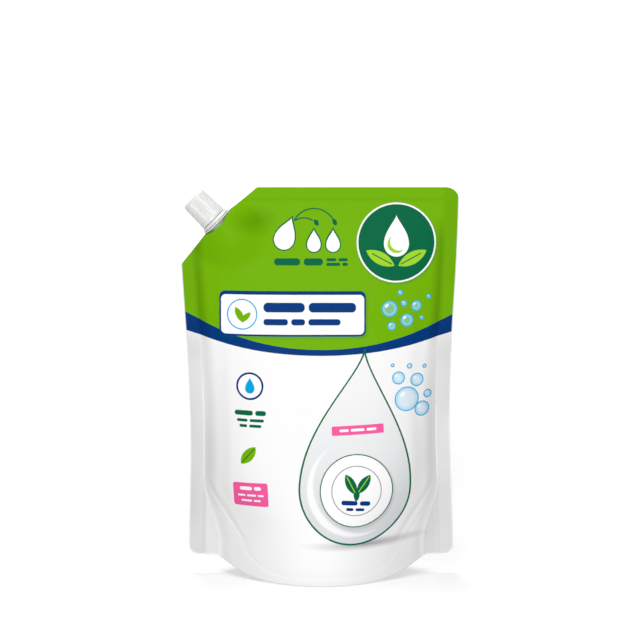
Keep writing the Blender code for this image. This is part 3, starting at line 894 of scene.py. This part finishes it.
def refill_sign(s, colour):
    """One large drop fills two small ones, over rows of bars."""
    x = -8.0
    for tone, grown in ((DARK_GREEN, 0.8), (PAPER, 0.0)):
        drops = [s.drop(x - 15.5, 226.0, 6.6 + grown, 15.0 + 2.4 * grown, -0.35)]
        for aside in (4.0, 16.5):
            drops.append(s.drop(x + aside, 222.4, 4.4 + grown, 10.0 + 2.4 * grown))
        colour = s.paint(colour, s.mask(s.either(*drops)), tone)
    circles = (s.circle(x - 2.6, 229.4, 10.6), s.circle(x + 4.0, 231.7, 14.4))
    arcs = s.either(*[s.ring(circle, 0.42) for circle in circles])
    arcs = s.both(arcs, s.box(x + 3.7, 243.7, 13.4, 5.6, 0.3))
    heads = s.either(s.leaf(x + 5.6, 236.9, 4.8, 2.9, 0.5), s.leaf(x + 17.6, 237.2, 4.8, 2.9, 0.35))
    colour = s.paint(colour, s.mask(s.either(arcs, heads)), DARK_GREEN)
    bars = s.either(
        s.words(x - 22.0, 211.5, 4.6, (17.0, 12.5), 2.4),
        s.words(x + 12.2, 212.9, 2.0, (6.5, 6.0), 1.4),
        s.words(x + 12.2, 209.9, 2.0, (9.0, 3.6), 1.4),
    )
    return s.paint(colour, s.mask(bars), DARK_GREEN)


def name_panel(s, colour):
    """White panel in a navy frame, with a leaf stamp and two rows of bars."""
    x = -18.0
    shadow = s.box(x + 0.6, 176.8, 48.5, 14.6, 4.0)
    colour = s.paint(colour, s.mask(shadow, 3.0, 0.3), DARK_GREEN)
    colour = s.paint(colour, s.mask(s.box(x, 178.0, 48.0, 14.6, 4.0)), NAVY)
    colour = s.paint(colour, s.mask(s.box(x, 177.4, 46.9, 12.8, 3.0)), PAPER)
    stamp = s.ring(s.circle(x - 33.0, 177.4, 9.6), 0.4)
    colour = s.paint(colour, s.mask(stamp), CYAN)
    leaves = s.either(
        s.leaf(x - 34.8, 177.0, 11.5, 4.4, 0.5),
        s.leaf(x - 30.6, 175.6, 9.0, 3.6, -0.8),
    )
    colour = s.paint(colour, s.mask(leaves), GREEN)
    bars = s.either(
        s.words(x - 19.0, 182.0, 6.2, (27.0, 31.0), 2.6),
        s.words(x - 19.0, 172.6, 4.0, (16.0, 9.0, 21.0), 2.2),
    )
    return s.paint(colour, s.mask(bars), NAVY)


def plate(s, colour, local):
    """A round plate with a sprig of three leaves, in the great drop."""
    middle = (1.0, -1.0)
    colour = s.paint(colour, s.mask(s.circle(1.6, -2.2, 24.6, local), 2.5, 0.4), MIST)
    colour = s.paint(colour, s.mask(s.circle(*middle, 24.0, local)), PAPER)
    for radius, tone in ((16.2, MIST), (23.7, DARK_GREEN)):
        colour = s.paint(colour, s.mask(s.ring(s.circle(*middle, radius, local), 0.35)), tone)
    leaves, veins = [], []
    for x, z, lean in ((-3.0, 3.0, 0.55), (5.4, 3.6, -0.55)):
        leaves.append(s.leaf(x, z, 15.0, 6.4, lean, local))
        veins.append(s.box(x, z, 0.3, 6.0, 0.3, lean, local))
    leaves.append(s.leaf(1.2, -3.4, 9.0, 4.0, 0.0, local))
    colour = s.paint(colour, s.mask(s.either(*leaves)), DARK_GREEN)
    return s.paint(colour, s.mask(s.either(*veins)), LIME)


def great_drop(s, colour):
    """The large picture: a pale drop with a dark outline that holds a plate, a ribbon and bars."""
    x, z, turn = 23.0, 65.0, -0.07
    colour = s.paint(colour, s.soft_oval(x + 8.0, z - 37.0, 47.0, 4.4, 1.0), MIST)
    body = s.drop(x, z, 36.5, 90.0, turn)
    fade = s.paint(GREY, s.ramp(s.parts(s.point)[2], z - 45.0, z + 85.0, 0.0, 0.8), WHITE)
    colour = s.paint(colour, s.mask(body), fade)
    sheen = s.less(s.circle(x, z, 31.5), s.circle(x + 5.0, z + 3.0, 32.5))
    colour = s.paint(colour, s.mask(sheen, 1.5, 0.85), PAPER)
    colour = s.paint(colour, s.mask(s.ring(body, 0.6)), DARK_GREEN)
    local = s.about(x, z, turn)
    colour = plate(s, colour, local)
    ribbon = s.about(-1.0, 38.5, 0.12, local)
    colour = s.paint(colour, s.mask(s.box(0.0, 0.0, 17.0, 3.0, 0.7, 0.0, ribbon)), PINK)
    colour = s.paint(colour, s.mask(s.words(-12.0, 0.0, 1.7, (6.0, 9.0, 6.4), 1.4, ribbon)), PAPER)
    bars = s.either(
        s.words(-8.4, -9.0, 3.0, (10.6, 6.8), 1.6, local),
        s.words(-5.0, -13.2, 1.9, (4.8, 5.8), 1.4, local),
    )
    return s.paint(colour, s.mask(bars), NAVY)


def side_signs(s, colour):
    """The small signs of the left margin: a seal, rows of bars, a leaf and a pink label."""
    x = -46.0
    colour = s.paint(colour, s.mask(s.circle(x, 131.0, 9.0)), NAVY)
    colour = s.paint(colour, s.mask(s.circle(x, 131.0, 7.7)), PAPER)
    colour = s.paint(colour, s.mask(s.drop(x, 129.3, 3.1, 7.4)), CYAN)
    rows = s.either(
        s.words(x - 10.0, 113.6, 3.2, (12.0, 7.0), 1.6),
        s.words(x - 8.5, 108.8, 1.9, (7.0, 9.4), 1.4),
        s.words(x - 6.8, 105.2, 1.9, (5.0, 8.0), 1.4),
    )
    colour = s.paint(colour, s.mask(rows), DARK_GREEN)
    colour = s.paint(colour, s.mask(s.leaf(x - 1.0, 86.0, 15.0, 7.0, -0.7)), GREEN)
    colour = s.paint(colour, s.mask(s.box(x - 1.0, 86.0, 0.3, 6.2, 0.3, -0.7)), DARK_GREEN)
    label = s.about(x + 0.5, 60.0, 0.05)
    colour = s.paint(colour, s.mask(s.box(0.0, 0.0, 11.5, 8.0, 1.6, 0.0, label)), PINK)
    lines = s.either(
        s.words(-7.0, 4.2, 2.4, (8.0, 4.6), 1.4, label),
        s.words(-8.6, -0.6, 1.3, (5.0, 6.0, 3.8), 1.2, label),
        s.words(-6.4, -4.2, 1.3, (7.0, 4.6), 1.2, label),
    )
    return s.paint(colour, s.mask(lines), PAPER)


# Sideways place, height and radius of each bubble, beside the great drop and beside the name panel
WHITE_BUBBLES = (
    (57.0, 122.0, 8.0), (67.2, 114.6, 5.0), (51.5, 136.0, 4.2), (63.8, 134.0, 4.4), (71.0, 124.0, 2.8),
    (58.8, 143.4, 1.8), (47.6, 144.4, 1.3), (68.8, 142.6, 1.4),
)
GREEN_BUBBLES = (
    (45.6, 181.0, 5.2), (57.0, 173.4, 4.2), (63.2, 182.6, 3.4), (47.0, 169.8, 2.8), (55.0, 184.4, 2.0),
    (52.6, 191.4, 1.7), (71.4, 188.4, 1.5), (66.8, 174.6, 1.4),
)


def printed_colour(s):
    """The whole print. The motifs are on the front panel only."""
    fields = colour_fields(s)
    colour = medallion(s, fields)
    colour = refill_sign(s, colour)
    colour = bubbles(s, colour, GREEN_BUBBLES)
    colour = name_panel(s, colour)
    colour = bubbles(s, colour, WHITE_BUBBLES)
    colour = great_drop(s, colour)
    colour = side_signs(s, colour)
    front = s.math("GREATER_THAN", s.attribute("on_front"), 0.5)
    return s.paint(fields, front, colour)


def noise_value(s, scale, detail=2.0, vector=None):
    node = s.tree.nodes.new("ShaderNodeTexNoise")
    s.put(node.inputs["Vector"], vector or s.place)
    node.inputs["Scale"].default_value = scale
    node.inputs["Detail"].default_value = detail
    return node.outputs["Fac"]


def bump(s, shader, height, strength, distance):
    node = s.tree.nodes.new("ShaderNodeBump")
    node.inputs["Strength"].default_value = strength
    node.inputs["Distance"].default_value = distance
    s.put(node.inputs["Height"], height)
    s.put(shader.inputs["Normal"], node.outputs["Normal"])


def span(s, share, low, high):
    """A noise value spread between two limits."""
    return s.math("MULTIPLY_ADD", share, high - low, low)


def principled(name, values):
    """A material whose shader has these values at its inputs."""
    material = bpy.data.materials.new(name)
    material.use_nodes = True
    shader = material.node_tree.nodes["Principled BSDF"]
    for socket, value in values.items():
        shader.inputs[socket].default_value = value
    return material, material.node_tree, shader


def seal_shade(s, x, z, past_fold, past_seal):
    """Painted shade over the sealed margins, more at the ears and less in the green, with a painted
    dark line along each side seal and noisy streaks.
    """
    ear = s.ramp(x, -EAR_MIDDLE, EAR_MIDDLE, LEFT_EAR_PAINTED_SHADE, RIGHT_EAR_PAINTED_SHADE)
    painted_shade = s.choose(s.ramp(past_seal, -EAR_BLEND, 0.0, 0.0, 1.0), ear, SEAL_PAINTED_SHADE)
    # Painted shade: a dark line along the inner edge of each side seal, fading out upwards
    line = s.mask(s.ring(past_seal, LINE_HALF), LINE_BLEND, SEAL_LINE_PAINTED_SHADE)
    painted_shade = s.math("ADD", painted_shade, s.math("MULTIPLY", line, s.ramp(z, *SEAL_LINE_FADE, 1.0, 0.0)))
    painted_shade = s.choose(s.ramp(z, WHITE_TOP, GREEN_FOOT, 0.0, 1.0), painted_shade, GREEN_SEAL_PAINTED_SHADE)
    # Noisy streaks that stand in for the light and shade of the rippled seals
    streaks = noise_value(s, SEAL_STREAK_SCALE, 2.0, s.vector("MULTIPLY", s.place, SEAL_STREAK_STRETCH))
    painted_shade = s.math("ADD", painted_shade, span(s, streaks, -SEAL_SHADE_STREAKS, SEAL_SHADE_STREAKS))
    sealed = s.math("MULTIPLY_ADD", past_fold, 1.0 / SEAL_BLEND, 0.5, clamp=True)
    return s.math("MULTIPLY", sealed, painted_shade)


def fold_shade(s, z, past_fold):
    """Painted shade along the soft fold inside each side seal, stronger in the green."""
    place = s.ramp(z, WHITE_TOP, GREEN_FOOT, FOLD_SHADE_PLACE, GREEN_FOLD_SHADE_PLACE)
    flank = s.ring(s.math("ADD", past_fold, place), FOLD_SHADE_HALF)
    strength = s.ramp(z, WHITE_TOP, GREEN_FOOT, FOLD_SHADE, GREEN_FOLD_SHADE)
    strength = s.math("MULTIPLY", strength, s.ramp(z, *FOLD_SHADE_FADE, 1.0, 0.0))
    return s.math("MULTIPLY", s.mask(flank, FOLD_SHADE_BLEND), strength)


def film_shade(s):
    """Painted shade, as a share taken from the print, over the film's seals, under its top seal, along
    its folds and beside the spout.
    """
    x, _, z = s.parts(s.point)
    past_fold, past_seal = s.from_seal_lines()
    crease = s.ring(s.math("SUBTRACT", z, POUCH_HEIGHT - TOP_SEAL), LINE_HALF)
    shade = seal_shade(s, x, z, past_fold, past_seal)
    for other in (
        s.mask(crease, LINE_BLEND, TOP_CREASE_SHADE),
        fold_shade(s, z, past_fold),
        s.mask(s.oval(*SPOUT_SHADE), SPOUT_SHADE_BLEND, SPOUT_SHADE_STRENGTH),
    ):
        shade = s.math("MAXIMUM", shade, other)
    return shade


def film_material():
    """Satin laminate: the print under a clear skin with a faint uneven gloss, darkened by painted
    shade, with a pale cut edge that is partly a painted highlight.
    """
    material, tree, shader = principled("printed_film", {"Roughness": 0.34, "Specular IOR Level": 0.02})
    s = Shapes(tree)
    # The print darkened by painted shade
    colour = s.darker(printed_colour(s), film_shade(s))
    # A pale line along the side and lower cut edges: the film's cut edge, partly a painted highlight
    edge = s.mask(s.math("SUBTRACT", s.attribute("from_edge"), EDGE_WIDTH), EDGE_BLEND)
    s.put(shader.inputs["Base Color"], s.paint(colour, edge, PALE_EDGE_AND_HIGHLIGHT))
    gloss = span(s, noise_value(s, FILM_ROUGHNESS_SCALE), *FILM_ROUGHNESS)
    s.put(shader.inputs["Roughness"], gloss)
    grain = noise_value(s, FILM_GRAIN_SCALE, FILM_GRAIN_DETAIL)
    bump(s, shader, grain, FILM_GRAIN, FILM_GRAIN_DEPTH)
    return material


def natural_plastic():
    """Unpigmented polyethylene: milky, a little see-through, with a soft sheen."""
    values = {
        "Roughness": 0.3,
        "Subsurface Weight": 0.3,
        "Subsurface Radius": (1.0, 1.0, 1.0),
        "Subsurface Scale": 0.002,
        "Specular IOR Level": 0.35,
    }
    material, tree, shader = principled("natural_plastic", values)
    s = Shapes(tree)
    s.put(shader.inputs["Base Color"], s.paint(MILK, noise_value(s, PLASTIC_CLOUD_SCALE), LIGHT_MILK))
    gloss = span(s, noise_value(s, PLASTIC_ROUGHNESS_SCALE), *PLASTIC_ROUGHNESS)
    s.put(shader.inputs["Roughness"], gloss)
    grain = noise_value(s, PLASTIC_GRAIN_SCALE, PLASTIC_GRAIN_DETAIL)
    bump(s, shader, grain, PLASTIC_GRAIN, PLASTIC_GRAIN_DEPTH)
    return material


# The stage, in metres

SWEEP_DEPTH = 1.4
SWEEP_FRONT = 3.0
SWEEP_RADIUS = 0.8
SWEEP_STEPS = 16
SWEEP_HEIGHT = 3.0
SWEEP_HALF_WIDTH = 1.6
GLOW_NEAR, GLOW_FAR = 0.25, 1.1
LEAST_GLOW = 0.38
SURROUND_RADIUS = 4.5
SURROUND_HEIGHT = 8.0
SURROUND_SEGMENTS = 96


def as_backdrop(thing):
    """Seen, but it neither lights the object nor blocks light."""
    thing.visible_diffuse = False
    thing.visible_shadow = False


def sweep_profile():
    """Floor, curve and wall, from the front to the top."""
    profile = [Vector((0.0, -SWEEP_FRONT, 0.0)), Vector((0.0, SWEEP_DEPTH, 0.0))]
    for k in range(1, SWEEP_STEPS + 1):
        angle = math.pi / 2.0 * k / SWEEP_STEPS
        y = SWEEP_DEPTH + SWEEP_RADIUS * math.sin(angle)
        profile.append(Vector((0.0, y, SWEEP_RADIUS * (1.0 - math.cos(angle)))))
    profile.append(Vector((0.0, SWEEP_DEPTH + SWEEP_RADIUS, SWEEP_HEIGHT)))
    return profile


def make_stage():
    """A white sweep that glows more with distance from the pouch."""
    bm = bmesh.new()
    side = Vector((SWEEP_HALF_WIDTH, 0.0, 0.0))
    left = [bm.verts.new(p - side) for p in sweep_profile()]
    right = [bm.verts.new(p + side) for p in sweep_profile()]
    for k in range(len(left) - 1):
        bm.faces.new((left[k], right[k], right[k + 1], left[k + 1]))
    sweep = new_object("sweep", as_mesh("sweep", bm))
    sweep.data.shade_smooth()
    values = {
        "Roughness": 0.9,
        "Base Color": (0.8, 0.8, 0.8, 1.0),
        "Specular IOR Level": 0.1,
        "Emission Color": FULL_WHITE,
    }
    material, tree, shader = principled("sweep", values)
    s = Shapes(tree)
    away = s.vector("LENGTH", s.vector("MULTIPLY", s.place, (1.0, 1.0, 0.0)))
    glow = s.ramp(away, GLOW_NEAR, GLOW_FAR, LEAST_GLOW, 1.0)
    s.put(shader.inputs["Emission Strength"], glow)
    sweep.data.materials.append(material)
    as_backdrop(sweep)


def make_surround():
    """A white round wall far behind everything."""
    bm = bmesh.new()
    bmesh.ops.create_cone(
        bm,
        cap_ends=True,
        segments=SURROUND_SEGMENTS,
        radius1=SURROUND_RADIUS,
        radius2=SURROUND_RADIUS,
        depth=SURROUND_HEIGHT,
    )
    surround = new_object("surround", as_mesh("surround", bm))
    values = {
        "Roughness": 0.9,
        "Base Color": BLACK,
        "Specular IOR Level": 0.0,
        "Emission Color": FULL_WHITE,
        "Emission Strength": 1.0,
    }
    material, _, _ = principled("surround", values)
    surround.data.materials.append(material)
    as_backdrop(surround)


LAMP_SIZE = 0.35

# Each lamp's name, power in watts, place and aim
LAMPS = (
    ("key", 23.0, (-0.12, -2.2, 0.42), (0.0, 0.0, 0.13)),
    ("top_back", 6.0, (-0.07, 0.2, 1.3), (0.0, 0.0, 0.0)),
    ("top_front", 3.2, (-0.1, -0.32, 1.25), (0.0, 0.0, 0.0)),
)

# The sky lights the two faces of the pouch and a little from below, with its sides left dim
WORLD_FACING = 1.3
WORLD_NARROWNESS = 4.0
WORLD_BELOW = 0.35
WORLD_SIDES = 0.04


def area_light(name, power, place, aim):
    data = bpy.data.lights.new(name, "AREA")
    data.shape = "DISK"
    data.size = LAMP_SIZE
    data.energy = power
    light = new_object(name, data)
    light.location = place
    light.rotation_euler = (Vector(aim) - Vector(place)).to_track_quat("-Z", "Y").to_euler()


def make_world():
    world = bpy.data.worlds.new("studio")
    bpy.context.scene.world = world
    world.use_nodes = True
    background = world.node_tree.nodes["Background"]
    background.inputs["Color"].default_value = FULL_WHITE
    s = Shapes(world.node_tree)
    direction = world.node_tree.nodes.new("ShaderNodeTexCoord").outputs["Generated"]
    _, depth, up = s.parts(direction)
    facing = s.math("POWER", s.math("ABSOLUTE", depth), WORLD_NARROWNESS)
    below = s.math("MULTIPLY", up, -WORLD_BELOW, clamp=True)
    glow = s.math("MULTIPLY", facing, WORLD_FACING)
    glow = s.math("ADD", glow, s.math("ADD", below, WORLD_SIDES))
    s.put(background.inputs["Strength"], glow)


def make_camera():
    data = bpy.data.cameras.new("camera")
    data.lens = CAMERA_LENS
    camera = new_object("camera", data)
    aim = Vector((0.0, 0.0, AIM_HEIGHT))
    back = Vector((0.0, -math.cos(CAMERA_ELEVATION), math.sin(CAMERA_ELEVATION)))
    camera.location = aim + back * CAMERA_DISTANCE
    camera.rotation_euler = (-back).to_track_quat("-Z", "Y").to_euler()
    bpy.context.scene.camera = camera


make_film(film_material())
moulding = natural_plastic()
for node in ("spout", "tamper_band", "cap"):
    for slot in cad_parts[node].material_slots:
        slot.material = moulding
make_stage()
make_surround()
make_world()
for lamp in LAMPS:
    area_light(*lamp)
make_camera()
bpy.context.scene.view_settings.view_transform = "Standard"
